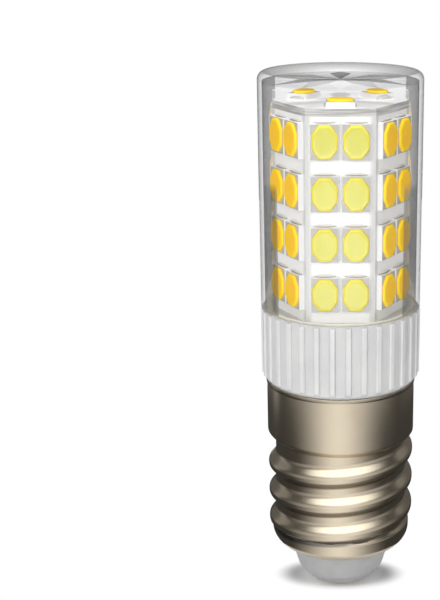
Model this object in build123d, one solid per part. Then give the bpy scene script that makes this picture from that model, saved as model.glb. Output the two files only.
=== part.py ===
# Corn LED bulb with a small Edison screw cap, in millimetres, +Z up along the bulb's own axis.
# The origin is the middle of the centre contact's flat underside, and the front face looks along -Y.
# A ceramic collar joins the cap to a clear cover. Inside, six boards stand as a hexagonal tower
# with eight LED packages each, a seventh board with three packages closes it, and the driver hangs
# from the collar into the cap.
from build123d import *
from math import cos, pi, radians, sin, sqrt, tan
import os

# Lengths that stack up from the contact's underside to the collar's rim
CONTACT_PROUD = 1.05
INSULATOR_PROUD = 4.1
SHELL_LENGTH = 18.05
COLLAR_LENGTH = 7.5

# Clearance between a piece and what it slides into
SLIDE_GAP = 0.05

# Clear cover, and the room it leaves beside and above the tower
TOWER_GAP = 0.92
HEAD_ROOM = 2.1
COVER_WALL = 0.5
COVER_ROOF = 0.75
COVER_EDGE = 0.8
COVER_EDGE_BEVEL = 0.3
FACET_COUNT = 12
FACET_RING_SHARE = 0.55
FACET_RISE = 0.22
FACET_DIP = 0.1
FACET_BORDER = 0.25

# Ceramic collar
COLLAR_RIB_DEPTH = 0.25
RIB_COUNT = 32
RIB_WIDTH = 0.6
RIB_TOP_DROP = 0.15
RIB_FOOT_RISE = 0.15
RIM_HEIGHT = 0.2
COLLAR_FLOOR = 2.2
COLLAR_WALL = 1.25
COLLAR_FOOT_CHAMFER = 0.35
SPIGOT_LENGTH = 4.4
SPIGOT_CHAMFER = 0.2
WIRE_HOLE_RADIUS = 0.7
WIRE_SPACING = 3.4

# Beads of cement that hold the cover and the cap
COVER_BEAD_WIDTH = 0.75
COVER_BEAD_RISE = 0.3
CAP_BEAD_HEIGHT = 0.5

# Screw cap pressed from sheet
SHEET = 0.25
SKIRT_STEP = 0.05
SKIRT_LENGTH = 5.7
SKIRT_CORNER = 0.2
ROLLED_EDGE_HEIGHT = 0.4
ROLLED_EDGE_PROUD = 0.08
THREAD_CREST_RADIUS = 7.45
THREAD_DEPTH = 0.75
THREAD_PITCH = 3.1
THREAD_FRONT_CREST = 11.5
THREAD_TURNS_BELOW_FRONT = 1.75
THREAD_CREST_WIDTH = 0.6
THREAD_FLANK_ANGLE = 40.0
THREAD_FOOT_RISE = 1.85
THREAD_NECK = 1.6
CUP_DEPTH = 0.32
CUP_HEIGHT = 2.1
CAP_CORNER = 1.6

# Insulator and centre contact
INSULATOR_SHOULDER_RADIUS = 5.3
INSULATOR_KNEE_RADIUS = 3.9
INSULATOR_KNEE_HEIGHT = 0.85
INSULATOR_FLAT_RADIUS = 3.2
INSULATOR_NECK_RADIUS = 4.5
INSULATOR_COLLAR_HEIGHT = 1.6
INSULATOR_WALL = 0.9
CONTACT_HEAD_RADIUS = 2.35
CONTACT_FLAT_RADIUS = 1.3
CONTACT_FLANGE = 0.4
CONTACT_SHANK_RADIUS = 0.8
CONTACT_SHANK_LENGTH = 3.6

# Hexagonal tower of boards
BOARD_THICKNESS = 0.8
TOP_BOARD_THICKNESS = 0.75
CORE_WALL = 1.0
FACE_COUNT = 6

# LED packages, 2.8 by 3.5 on the sides and 2.8 by 2.3 on top
ROW_COUNT = 4
COLUMN_COUNT = 2
ROW_GAP = 1.4
COLUMN_GAP = 0.15
FACE_MARGIN = 0.415
TOP_MARGIN = 0.55
FOOT_MARGIN = 1.15
PACKAGE_WIDTH = 2.8
PACKAGE_LENGTH = 3.5
PACKAGE_HEIGHT = 0.5
PACKAGE_DRAFT_ANGLE = 6.0
TOP_PACKAGE_COUNT = 3
TOP_PACKAGE_LENGTH = 2.8
TOP_PACKAGE_WIDTH = 2.3
TOP_PACKAGE_MARGIN = 0.45
PHOSPHOR_MARGIN = 0.16
PHOSPHOR_HEIGHT = 0.25
PHOSPHOR_DRAFT_ANGLE = 20.0
PHOSPHOR_CORNER_SHARE = 0.28

# Driver board, and the gap that is left between the parts on it
DRIVER_SIDE_GAP = 1.15
DRIVER_RISE = 3.55
DRIVER_THICKNESS = 1.0
DRIVER_GAP = 0.6
LEAD_FOOT = 0.6
FUSE_RADIUS = 1.15
FUSE_LENGTH = 5.6
RESISTOR_COUNT = 3
RESISTOR_SIZE = (2.0, 0.6, 1.2)
RECTIFIER_SIZE = (4.7, 1.6, 3.9)
RECTIFIER_LEAD_COUNT = 2
RECTIFIER_LEAD_PITCH = 2.5
CHIP_SIZE = (3.9, 1.4, 4.9)
CHIP_LEAD_COUNT = 4
CHIP_LEAD_PITCH = 1.27
FLAT_LEAD_SIZE = (0.6, 0.4, 0.5)
CAPACITOR_RADIUS = 2.0
CAPACITOR_LENGTH = 7.2
CAN_EDGE = 0.25
CAPACITOR_LEG_SPACING = 1.6
CAPACITOR_LEG_DROP = 1.2

# Wires
LEG_RADIUS = 0.25
LEAD_RADIUS = 0.4
LEAD_LAP = 3.2
NEUTRAL_DROP = 3.6
NEUTRAL_LEAN = 1.6
NEUTRAL_LAP = 3.0
NEUTRAL_EDGE = 1.0

# Heights, radii and places worked out from the sizes above
HEX_SIDE = COLUMN_COUNT * PACKAGE_WIDTH + COLUMN_GAP + 2 * FACE_MARGIN
TOWER_HEIGHT = TOP_MARGIN + PACKAGE_LENGTH + (ROW_COUNT - 1) * (PACKAGE_LENGTH + ROW_GAP) + FOOT_MARGIN
COVER_LENGTH = TOWER_HEIGHT - RIM_HEIGHT + TOP_BOARD_THICKNESS + HEAD_ROOM + COVER_ROOF
INSULATOR_Z = CONTACT_PROUD
SHELL_Z = INSULATOR_Z + INSULATOR_PROUD
COLLAR_Z = SHELL_Z + SHELL_LENGTH
RIM_Z = COLLAR_Z + COLLAR_LENGTH
COVER_TOP_Z = RIM_Z + COVER_LENGTH
CEILING_Z = COVER_TOP_Z - COVER_ROOF
FLOOR_Z = RIM_Z - RIM_HEIGHT
BOARD_TOP_Z = FLOOR_Z + TOWER_HEIGHT
SKIRT_Z = COLLAR_Z - SKIRT_LENGTH
THREAD_Z = SHELL_Z + THREAD_FOOT_RISE
THREAD_TOP_Z = SKIRT_Z - THREAD_NECK
SPIGOT_Z = COLLAR_Z - SPIGOT_LENGTH
SHANK_TOP_Z = INSULATOR_Z + CONTACT_SHANK_LENGTH
DRIVER_TOP_Z = FLOOR_Z - COLLAR_FLOOR
DRIVER_Z = SHANK_TOP_Z + DRIVER_RISE
COVER_INSIDE = HEX_SIDE + TOWER_GAP
COVER_RADIUS = COVER_INSIDE + COVER_WALL
COLLAR_RADIUS = COVER_RADIUS - COLLAR_RIB_DEPTH
SKIRT_RADIUS = THREAD_CREST_RADIUS + SKIRT_STEP
SPIGOT_RADIUS = SKIRT_RADIUS - SHEET - SLIDE_GAP
COLLAR_BORE = SPIGOT_RADIUS - COLLAR_WALL
THREAD_ROOT_RADIUS = THREAD_CREST_RADIUS - THREAD_DEPTH
CUP_RADIUS = THREAD_CREST_RADIUS - CUP_DEPTH
APOTHEM = HEX_SIDE * cos(pi / FACE_COUNT)
CORE_APOTHEM = APOTHEM - BOARD_THICKNESS
TOP_PACKAGE_OFFSET = APOTHEM - TOP_PACKAGE_MARGIN - TOP_PACKAGE_WIDTH / 2
DRIVER_WIDTH = 2 * (COLLAR_BORE - DRIVER_SIDE_GAP)
BOARD_FRONT_Y = -DRIVER_THICKNESS / 2
LEAD_Y = BOARD_FRONT_Y - LEAD_RADIUS
FUSE_Z = DRIVER_Z + DRIVER_GAP
FUSE_Y = BOARD_FRONT_Y - FUSE_RADIUS
RESISTOR_Z = FUSE_Z + FUSE_LENGTH + DRIVER_GAP + RESISTOR_SIZE[2] / 2
RECTIFIER_Z = RESISTOR_Z + RESISTOR_SIZE[2] / 2 + DRIVER_GAP + LEAD_FOOT + RECTIFIER_SIZE[2] / 2
CAPACITOR_Y = DRIVER_THICKNESS / 2 + CAPACITOR_RADIUS
CAPACITOR_Z = DRIVER_Z + NEUTRAL_LAP + CAPACITOR_LEG_DROP
CHIP_Z = CAPACITOR_Z + CAPACITOR_LENGTH + DRIVER_GAP + CHIP_SIZE[2] / 2


def upright(radius, height, foot_z):
    """Cylinder about Z that stands at a height."""
    return Pos(Z=foot_z) * Cylinder(radius, height, align=(Align.CENTER, Align.CENTER, Align.MIN))


def revolved(*lines):
    """Solid of revolution about Z of a closed outline given in radius and height."""
    edges = [edge for line in lines for edge in line.edges()]
    return revolve(Plane.XZ * make_face(edges), Axis.Z)


def ring_points(count, radius, height, turn=0.0):
    """Points evenly spaced round Z, the first one at an angle of turn in degrees from +X."""
    angles = [radians(turn + 360 * k / count) for k in range(count)]
    return [Vector(radius * cos(a), radius * sin(a), height) for a in angles]


def centred(count, step):
    """Evenly stepped places in a row, centred on zero."""
    return [(k - (count - 1) / 2) * step for k in range(count)]


def group(pieces):
    """Separate solids held together as one node."""
    return Compound(children=list(pieces))


def wire(radius, *points):
    """Round wire along straight runs with mitred bends."""
    path = Polyline(*points)
    return sweep(Plane(path @ 0, z_dir=path % 0) * Circle(radius), path=path, transition=Transition.RIGHT)


def can(radius, length):
    """Upright cylinder on the XY plane with bevelled ends."""
    body = upright(radius, length, 0)
    return chamfer(body.edges().filter_by(GeomType.CIRCLE), CAN_EDGE)


# Cover and collar


def faceted_roof():
    """Cut gem under the cover's roof: twelve wedges that meet in its middle and a ring of triangles."""
    rim = ring_points(FACET_COUNT, COVER_INSIDE - FACET_BORDER, CEILING_Z - FACET_RISE)
    inner = ring_points(FACET_COUNT, COVER_INSIDE * FACET_RING_SHARE, CEILING_Z, 180 / FACET_COUNT)
    middle = Vector(0, 0, CEILING_Z - FACET_DIP)
    faces = [Face(Wire.make_polygon(rim))]
    for k in range(FACET_COUNT):
        after = (k + 1) % FACET_COUNT
        for corners in (
            (rim[k], rim[after], inner[k]),
            (inner[k], rim[after], inner[after]),
            (inner[k], inner[after], middle),
        ):
            faces.append(Face(Wire.make_polygon(corners)))
    return Solid(Shell(faces))


def cover():
    """Clear tube with a closed, bevelled top and a faceted inner roof."""
    edge = COVER_EDGE
    bevel = COVER_EDGE * COVER_EDGE_BEVEL
    outside = revolved(
        Polyline(
            (0, RIM_Z),
            (COVER_RADIUS, RIM_Z),
            (COVER_RADIUS, COVER_TOP_Z - edge),
            (COVER_RADIUS - bevel, COVER_TOP_Z - bevel),
            (COVER_RADIUS - edge, COVER_TOP_Z),
            (0, COVER_TOP_Z),
            close=True,
        )
    )
    hollow = upright(COVER_INSIDE, CEILING_Z - FACET_RISE - RIM_Z, RIM_Z)
    return outside - hollow - faceted_roof()


def cover_adhesive():
    """Cream bead in the corner between the collar's floor and the cover's foot."""
    return revolved(
        Polyline(
            (COVER_INSIDE - COVER_BEAD_WIDTH, FLOOR_Z),
            (COVER_INSIDE, FLOOR_Z),
            (COVER_INSIDE, RIM_Z + COVER_BEAD_RISE),
            close=True,
        )
    )


def collar_rib():
    """One upright rib with a bevelled foot, facing +X and sunk in the collar's wall."""
    root = COLLAR_RADIUS - COLLAR_RIB_DEPTH
    foot = COLLAR_Z + RIB_FOOT_RISE
    head = RIM_Z - RIB_TOP_DROP
    outline = Polyline(
        (root, foot),
        (COVER_RADIUS, foot + COVER_RADIUS - root),
        (COVER_RADIUS, head),
        (root, head),
        close=True,
    )
    return extrude(Plane.XZ * make_face(outline), RIB_WIDTH / 2, both=True)


def collar():
    """Ribbed ceramic collar: a rim and a floor above, a spigot and the driver's hollow below."""
    body = upright(COLLAR_RADIUS, COLLAR_LENGTH, COLLAR_Z)
    body = chamfer(body.edges().group_by(Axis.Z)[0], COLLAR_FOOT_CHAMFER)
    step = 360 / RIB_COUNT
    body += [Rot(Z=(k + 0.5) * step) * collar_rib() for k in range(RIB_COUNT)]
    spigot = upright(SPIGOT_RADIUS, SPIGOT_LENGTH, SPIGOT_Z)
    spigot = chamfer(spigot.edges().group_by(Axis.Z)[0], SPIGOT_CHAMFER)
    recess = upright(COVER_INSIDE, RIM_HEIGHT, FLOOR_Z)
    hollow = upright(COLLAR_BORE, DRIVER_TOP_Z - SPIGOT_Z, SPIGOT_Z)
    drill = upright(WIRE_HOLE_RADIUS, COLLAR_FLOOR, DRIVER_TOP_Z)
    holes = [Pos(x, LEAD_Y) * drill for x in centred(2, WIRE_SPACING)]
    return body + spigot - recess - hollow - holes


# Screw cap


def thread_ridge():
    """Right-handed ridge of the thread, level at its two ends, with its root sunk in the cap's wall."""
    start_z = THREAD_FRONT_CREST - THREAD_TURNS_BELOW_FRONT * THREAD_PITCH
    path = Helix(THREAD_PITCH, SKIRT_Z - start_z, THREAD_ROOT_RADIUS)
    crest_half = THREAD_CREST_WIDTH / 2
    foot_half = crest_half + (THREAD_DEPTH + SHEET) * tan(radians(THREAD_FLANK_ANGLE))
    outline = Polyline(
        (-SHEET, -foot_half),
        (THREAD_DEPTH, -crest_half),
        (THREAD_DEPTH, crest_half),
        (-SHEET, foot_half),
        close=True,
    )
    section = Plane(path @ 0, x_dir=(1, 0, 0), z_dir=path % 0) * make_face(outline)
    ridge = Pos(Z=start_z) * sweep(section, path=path, is_frenet=True)
    return ridge & upright(THREAD_CREST_RADIUS + THREAD_DEPTH, THREAD_TOP_Z - THREAD_Z, THREAD_Z)


def cap_wall(inset):
    """Cap without its thread, moved inwards by the inset, as a solid of revolution."""
    root = THREAD_ROOT_RADIUS - inset
    skirt = SKIRT_RADIUS - inset
    cup = CUP_RADIUS - inset
    foot = SHELL_Z + inset
    cup_z = SHELL_Z + CUP_HEIGHT
    bevel_z = SKIRT_Z + inset - SKIRT_CORNER
    corner = CAP_CORNER - inset
    bevel = corner * (1 - cos(pi / 4))
    return revolved(
        Polyline(
            (0, foot),
            (cup - corner, foot),
            (cup - bevel, foot + bevel),
            (cup, foot + corner),
            (cup, cup_z),
            (root, cup_z + cup - root),
            (root, bevel_z - (skirt - SKIRT_CORNER - root)),
            (skirt - SKIRT_CORNER, bevel_z),
            (skirt, bevel_z + 2 * SKIRT_CORNER),
            (skirt, COLLAR_Z),
            (0, COLLAR_Z),
            close=True,
        )
    )


def rolled_edge():
    """Low bead rolled round the skirt's top."""
    third = ROLLED_EDGE_HEIGHT / 3
    proud = SKIRT_RADIUS + ROLLED_EDGE_PROUD
    return revolved(
        Polyline(
            (SKIRT_RADIUS - SHEET, COLLAR_Z - ROLLED_EDGE_HEIGHT),
            (SKIRT_RADIUS, COLLAR_Z - ROLLED_EDGE_HEIGHT),
            (proud, COLLAR_Z - 2 * third),
            (proud, COLLAR_Z - third),
            (SKIRT_RADIUS, COLLAR_Z),
            (SKIRT_RADIUS - SHEET, COLLAR_Z),
            close=True,
        )
    )


def cap_shell():
    """Pressed sheet cap: rolled edge, skirt, thread, and a cup with a window for the insulator."""
    window = upright(INSULATOR_NECK_RADIUS + SLIDE_GAP, SHEET, SHELL_Z)
    return cap_wall(0) + thread_ridge() + rolled_edge() - cap_wall(SHEET) - window


def cap_adhesive():
    """Bead of cement under the collar's spigot."""
    return upright(SPIGOT_RADIUS, CAP_BEAD_HEIGHT, SPIGOT_Z - CAP_BEAD_HEIGHT) - upright(
        COLLAR_BORE, CAP_BEAD_HEIGHT, SPIGOT_Z - CAP_BEAD_HEIGHT
    )


def insulator():
    """Moulded bowl held in the cap's window, with a flange inside and a hole for the contact's shank."""
    flange = CUP_RADIUS - CAP_CORNER - SLIDE_GAP
    flange_z = SHELL_Z + SHEET
    lip_z = flange_z + INSULATOR_COLLAR_HEIGHT
    inside = INSULATOR_NECK_RADIUS - INSULATOR_WALL
    floor_z = INSULATOR_Z + INSULATOR_WALL
    return revolved(
        Polyline(
            (INSULATOR_FLAT_RADIUS, INSULATOR_Z),
            (INSULATOR_KNEE_RADIUS, INSULATOR_Z + INSULATOR_KNEE_HEIGHT),
            (INSULATOR_SHOULDER_RADIUS, SHELL_Z),
            (INSULATOR_NECK_RADIUS, SHELL_Z),
            (INSULATOR_NECK_RADIUS, flange_z),
            (flange, flange_z),
            (flange, lip_z),
            (inside, lip_z),
            (inside, floor_z + INSULATOR_WALL),
            (inside - INSULATOR_WALL, floor_z),
            (CONTACT_SHANK_RADIUS, floor_z),
            (CONTACT_SHANK_RADIUS, INSULATOR_Z),
            close=True,
        )
    )


def centre_contact():
    """Contact pin: a flat-ended head under the insulator and a shank up through it."""
    return revolved(
        Polyline(
            (0, 0),
            (CONTACT_FLAT_RADIUS, 0),
            (CONTACT_HEAD_RADIUS, INSULATOR_Z - CONTACT_FLANGE),
            (CONTACT_HEAD_RADIUS, INSULATOR_Z),
            (CONTACT_SHANK_RADIUS, INSULATOR_Z),
            (CONTACT_SHANK_RADIUS, SHANK_TOP_Z),
            (0, SHANK_TOP_Z),
            close=True,
        )
    )


# Tower of boards and its LED packages


def face_frame(index):
    """Place on one board's outer face: X across it, Y up the tower and Z outwards."""
    return Rot(Z=index * 360 / FACE_COUNT) * Location(Plane((0, -APOTHEM, FLOOR_Z), (1, 0, 0), (0, -1, 0)))


def side_board(index):
    """One of the six upright boards, with its long edges mitred to its neighbours."""
    outer_half = APOTHEM * tan(pi / FACE_COUNT)
    inner_half = CORE_APOTHEM * tan(pi / FACE_COUNT)
    outline = Polyline(
        (-outer_half, -APOTHEM),
        (outer_half, -APOTHEM),
        (inner_half, -CORE_APOTHEM),
        (-inner_half, -CORE_APOTHEM),
        close=True,
    )
    return Rot(Z=index * 360 / FACE_COUNT) * Pos(Z=FLOOR_Z) * extrude(make_face(outline), TOWER_HEIGHT)


def tower_core():
    """Hexagonal tube that the six boards are fixed to."""
    outer = RegularPolygon(CORE_APOTHEM, FACE_COUNT, major_radius=False)
    inner = RegularPolygon(CORE_APOTHEM - CORE_WALL, FACE_COUNT, major_radius=False)
    return Pos(Z=FLOOR_Z) * extrude(outer - inner, TOWER_HEIGHT)


def top_board():
    """Hexagonal board that closes the tower."""
    return Pos(Z=BOARD_TOP_Z) * extrude(RegularPolygon(HEX_SIDE, FACE_COUNT), TOP_BOARD_THICKNESS)


def package_body(width, length):
    """White package with drafted sides, standing on the XY plane."""
    return extrude(Rectangle(width, length), PACKAGE_HEIGHT, taper=PACKAGE_DRAFT_ANGLE)


def phosphor_plate(width, length):
    """Yellow octagonal plate with a sloping rim, standing on the package."""
    across = width / 2 - PHOSPHOR_MARGIN
    along = length / 2 - PHOSPHOR_MARGIN
    cut = 1 - 2 * PHOSPHOR_CORNER_SHARE
    outline = []
    for sx, sy in ((1, 1), (-1, 1), (-1, -1), (1, -1)):
        corner = [(sx * across, sy * along * cut), (sx * across * cut, sy * along)]
        outline += corner if sx == sy else corner[::-1]
    face = make_face(Polyline(*outline, close=True))
    return Pos(Z=PACKAGE_HEIGHT) * extrude(face, PHOSPHOR_HEIGHT, taper=PHOSPHOR_DRAFT_ANGLE)


def side_places(index):
    """Places of the eight packages on one side, row by row from the top."""
    top = TOWER_HEIGHT - TOP_MARGIN - PACKAGE_LENGTH / 2
    step = PACKAGE_LENGTH + ROW_GAP
    columns = centred(COLUMN_COUNT, PACKAGE_WIDTH + COLUMN_GAP)
    return [face_frame(index) * Pos(x, top - row * step) for row in range(ROW_COUNT) for x in columns]


def top_places():
    """Places of the three packages on the top board, one facing front."""
    board = Pos(Z=BOARD_TOP_Z + TOP_BOARD_THICKNESS)
    turns = [Rot(Z=360 * k / TOP_PACKAGE_COUNT) for k in range(TOP_PACKAGE_COUNT)]
    return [board * turn * Pos(Y=-TOP_PACKAGE_OFFSET) * Rot(Z=90) for turn in turns]


# Driver


def on_driver(size, height, side, across=0.0):
    """Block flat against the front (-1) or the back (1) of the driver board."""
    return Pos(across, side * (DRIVER_THICKNESS + size[1]) / 2, height) * Box(*size)


def driver_board():
    """Upright board that hangs from the collar's floor down into the cap."""
    size = (DRIVER_WIDTH, DRIVER_THICKNESS, DRIVER_TOP_Z - DRIVER_Z)
    return Pos(Z=DRIVER_Z) * Box(*size, align=(Align.CENTER, Align.CENTER, Align.MIN))


def bridge_rectifier():
    """Four-diode rectifier block with two leads at its head and two at its foot."""
    reach = (RECTIFIER_SIZE[2] + FLAT_LEAD_SIZE[2]) / 2
    leads = [
        on_driver(FLAT_LEAD_SIZE, RECTIFIER_Z + z, -1, x)
        for z in (-reach, reach)
        for x in centred(RECTIFIER_LEAD_COUNT, RECTIFIER_LEAD_PITCH)
    ]
    return on_driver(RECTIFIER_SIZE, RECTIFIER_Z, -1) + leads


def driver_chip():
    """Current regulator with four leads on each side."""
    reach = (CHIP_SIZE[0] + FLAT_LEAD_SIZE[0]) / 2
    leads = [
        on_driver(FLAT_LEAD_SIZE, CHIP_Z + z, 1, x)
        for x in (-reach, reach)
        for z in centred(CHIP_LEAD_COUNT, CHIP_LEAD_PITCH)
    ]
    return on_driver(CHIP_SIZE, CHIP_Z, 1) + leads


def smoothing_capacitor():
    """Can capacitor standing against the board's back, with bevelled ends."""
    return Pos(0, CAPACITOR_Y, CAPACITOR_Z) * can(CAPACITOR_RADIUS, CAPACITOR_LENGTH)


def capacitor_legs():
    """Two legs from the capacitor's foot, bent to the board."""
    low = CAPACITOR_Z - CAPACITOR_LEG_DROP
    return group(
        wire(LEG_RADIUS, (x, CAPACITOR_Y, CAPACITOR_Z), (x, CAPACITOR_Y, low), (x, -BOARD_FRONT_Y, low))
        for x in centred(2, CAPACITOR_LEG_SPACING)
    )


def chip_resistors():
    """Row of surface resistors on the board's front."""
    return group(
        on_driver(RESISTOR_SIZE, RESISTOR_Z, -1, x)
        for x in centred(RESISTOR_COUNT, RESISTOR_SIZE[0] + DRIVER_GAP)
    )


def fuse_resistor():
    """Fusible resistor standing against the board's front."""
    return Pos(0, FUSE_Y, FUSE_Z) * can(FUSE_RADIUS, FUSE_LENGTH)


def live_lead():
    """Lead from the contact's shank up to the fuse resistor's foot."""
    middle = (SHANK_TOP_Z + FUSE_Z) / 2
    return wire(LEG_RADIUS, (0, 0, SHANK_TOP_Z), (0, 0, middle), (0, FUSE_Y, middle), (0, FUSE_Y, FUSE_Z))


def neutral_lead():
    """Lead from the back of the driver board's edge down to the cap's inner wall."""
    x = DRIVER_WIDTH / 2 - NEUTRAL_EDGE
    y = -BOARD_FRONT_Y + LEAD_RADIUS
    reach = THREAD_ROOT_RADIUS - SHEET - LEAD_RADIUS - SLIDE_GAP
    wall = sqrt(reach**2 - y**2)
    high = DRIVER_Z + NEUTRAL_LAP
    low = high - NEUTRAL_DROP
    return wire(LEAD_RADIUS, (x, y, high), (x, y, low + NEUTRAL_LEAN), (wall, y, low))


def led_lead(side):
    """Lead from the driver board's front up through the collar's floor to the top board."""
    x = side * WIRE_SPACING / 2
    low = DRIVER_TOP_Z - LEAD_LAP
    return Pos(x, LEAD_Y, low) * Cylinder(
        LEAD_RADIUS, BOARD_TOP_Z - low, align=(Align.CENTER, Align.CENTER, Align.MIN)
    )


def save(name, shape):
    shape.label = name
    export_step(shape, f"parts/{name}.step")


os.makedirs("parts", exist_ok=True)
save("cover", cover())
save("cover_adhesive", cover_adhesive())
save("collar", collar())
save("cap_adhesive", cap_adhesive())
save("cap_shell", cap_shell())
save("insulator", insulator())
save("centre_contact", centre_contact())
save("tower_core", tower_core())
save("top_board", top_board())
save("driver_board", driver_board())
save("bridge_rectifier", bridge_rectifier())
save("driver_chip", driver_chip())
save("smoothing_capacitor", smoothing_capacitor())
save("capacitor_legs", capacitor_legs())
save("chip_resistors", chip_resistors())
save("fuse_resistor", fuse_resistor())
save("live_lead", live_lead())
save("neutral_lead", neutral_lead())
save("led_lead_positive", led_lead(1))
save("led_lead_negative", led_lead(-1))

side_body = package_body(PACKAGE_WIDTH, PACKAGE_LENGTH)
side_phosphor = phosphor_plate(PACKAGE_WIDTH, PACKAGE_LENGTH)
for index in range(FACE_COUNT):
    places = side_places(index)
    save(f"side_board_{index + 1}", side_board(index))
    save(f"side_packages_{index + 1}", group(place * side_body for place in places))
    save(f"side_phosphors_{index + 1}", group(place * side_phosphor for place in places))

top_body = package_body(TOP_PACKAGE_WIDTH, TOP_PACKAGE_LENGTH)
top_phosphor = phosphor_plate(TOP_PACKAGE_WIDTH, TOP_PACKAGE_LENGTH)
save("top_packages", group(place * top_body for place in top_places()))
save("top_phosphors", group(place * top_phosphor for place in top_places()))
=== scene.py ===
# Looks of a corn LED bulb: a hexagonal tower of LED boards under a clear cut-roof cover, on a ribbed
# ceramic collar and a small screw cap. Lengths are millimetres until a mesh is written, in metres.
from math import cos, pi, radians, sin, tan

import bpy
import numpy as np
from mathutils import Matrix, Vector

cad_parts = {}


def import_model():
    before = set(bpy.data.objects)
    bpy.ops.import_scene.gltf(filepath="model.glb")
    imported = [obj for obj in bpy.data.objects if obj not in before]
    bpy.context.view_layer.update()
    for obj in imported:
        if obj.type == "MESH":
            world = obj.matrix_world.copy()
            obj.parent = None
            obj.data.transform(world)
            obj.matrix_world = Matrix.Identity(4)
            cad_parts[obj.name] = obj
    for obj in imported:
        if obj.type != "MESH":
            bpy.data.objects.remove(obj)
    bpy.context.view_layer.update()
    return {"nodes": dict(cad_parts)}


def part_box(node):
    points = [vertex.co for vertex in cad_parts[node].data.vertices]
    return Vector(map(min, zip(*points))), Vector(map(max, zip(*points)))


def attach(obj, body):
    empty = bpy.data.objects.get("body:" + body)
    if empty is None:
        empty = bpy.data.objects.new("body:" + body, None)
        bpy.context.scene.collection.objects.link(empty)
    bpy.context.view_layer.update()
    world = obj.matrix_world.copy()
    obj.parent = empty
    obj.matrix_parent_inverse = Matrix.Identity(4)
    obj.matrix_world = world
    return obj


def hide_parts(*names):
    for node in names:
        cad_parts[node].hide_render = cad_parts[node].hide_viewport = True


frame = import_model()

MM = 0.001


def node_box(node):
    """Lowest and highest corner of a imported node, in millimetres."""
    low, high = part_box(node)
    return np.array(low) / MM, np.array(high) / MM


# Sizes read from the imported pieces
COVER_LOW, COVER_HIGH = node_box("cover")
SHELL_LOW, SHELL_HIGH = node_box("cap_shell")
INSULATOR_LOW, INSULATOR_HIGH = node_box("insulator")
CONTACT_LOW, CONTACT_HIGH = node_box("centre_contact")
FRONT_BOARD_LOW, FRONT_BOARD_HIGH = node_box("side_board_1")

COVER_RADIUS = COVER_HIGH[0]
COVER_TOP_Z = COVER_HIGH[2]
RIM_Z = COVER_LOW[2]
COLLAR_Z = SHELL_HIGH[2]
SPIGOT_Z = node_box("collar")[0][2]
SHELL_Z = SHELL_LOW[2]
BOARD_TOP_Z = FRONT_BOARD_HIGH[2]
FLOOR_Z = FRONT_BOARD_LOW[2]
PLATE_TOP_Z = node_box("top_board")[1][2]
APOTHEM = -FRONT_BOARD_LOW[1]
BEAD_RADIUS = node_box("cover_adhesive")[1][0]

# A point within this distance is on a wall
TOUCH = 0.01

# Clear cover
COVER_WALL = 0.45
COVER_ROOF = 0.75
COVER_EDGE = 0.8
ROOF_DROP = 0.02
FOOT_ROUND = 0.12
FACET_COUNT = 12
FACET_RING_SHARE = 0.55
FACET_RISE = 0.22
FACET_DIP = 0.1
FACET_BORDER = 0.25
COVER_SEGMENTS = 192
COVER_INSIDE = COVER_RADIUS - COVER_WALL

# Painted reflection: grey of its wedges, from the back to the front, then of their ring and of the rounded
# edge
FACET_REFLECTION_TONES = (0.8, 0.05, 0.5, 0.0, 0.75, 0.4, 0.0)
RING_REFLECTION_TONE = 0.35
EDGE_REFLECTION_TONE = 0.1

# Gloss at the limb grows between two values of facing, and the near wall loses it between two heights
LIMB_FACING = (0.435, 0.455)
LIMB_SHARE = 0.62
NEAR_LIMB_ENDS = (42.8, 44.2)

# Gloss of the cover seen square on and at a grazing angle, and the share of it that the roof keeps
SQUARE_GLOSS = 0.04
GRAZING_GLOSS = 0.9
ROOF_GLOSS = 0.1

# Ceramic collar
RIB_COUNT = 32
RIB_DEPTH = 0.25
RIB_WIDTH = 0.6
RIB_ROUND = 0.1
RIB_TOP_DROP = 0.15
RIB_HEAD = 0.12
RIB_FOOT_RISE = 0.38
RIB_FOOT = 0.3
RIM_EDGE = 0.1
COLLAR_FOOT = 0.35
COLLAR_FLOOR = 2.2
COLLAR_BORE = 5.95
SPIGOT_RADIUS = 7.2
COLLAR_ROWS = 60
RIB_STEPS = 24

# Screw cap and its thread
SHEET = 0.25
SKIRT_RADIUS = 7.5
SKIRT_LENGTH = 5.7
SKIRT_CORNER_HEIGHT = 0.75
SKIRT_TAPER = 0.1
EDGE_HEIGHT = 0.4
EDGE_PROUD = 0.08
EDGE_ROUND = 0.1
EDGE_SHADE = 0.45
CREST_RADIUS = 7.45
THREAD_DEPTH = 0.75
PITCH = 3.1
FRONT_CREST_Z = 11.5
CREST_WIDTH = 0.6
FLANK_WIDTH = 0.85
THREAD_ROUND = 0.18
THREAD_SAMPLES = 7
THREAD_START_Z = 6.6
THREAD_END_Z = 16.2
THREAD_FADE = 0.16
SHADE_STARTS = (-0.1, 0.15)
SHADE_ENDS = (0.65, 0.95)
CUP_DEPTH = 0.32
CUP_HEIGHT = 2.1
CUP_TAPER = 0.5
CUP_ROUND = 1.6
WINDOW_RADIUS = 4.55
INNER_DROP = 0.3
CAP_SEGMENTS = 300
CAP_STEP = 0.1

# Insulator and contact
SHANK_RADIUS = 0.8
BOWL_FOOT_RADIUS = 3.3
BELLY_RADIUS = 4.4
BELLY_HEIGHT = 1.15
BELLY_ROUND = 1.5
NECK_RADIUS = 5.3
GROOVE_RADIUS = 4.5
FLANGE_RADIUS = 5.48
HOLLOW_RADIUS = 3.6
HOLLOW_RISE = 1.8
HOLLOW_FLOOR_RADIUS = 2.7
BOWL_THICKNESS = 0.9
RIVET_TIP_RADIUS = 1.3
RIVET_RADIUS = 2.35
RIVET_EDGE = 0.4

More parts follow.
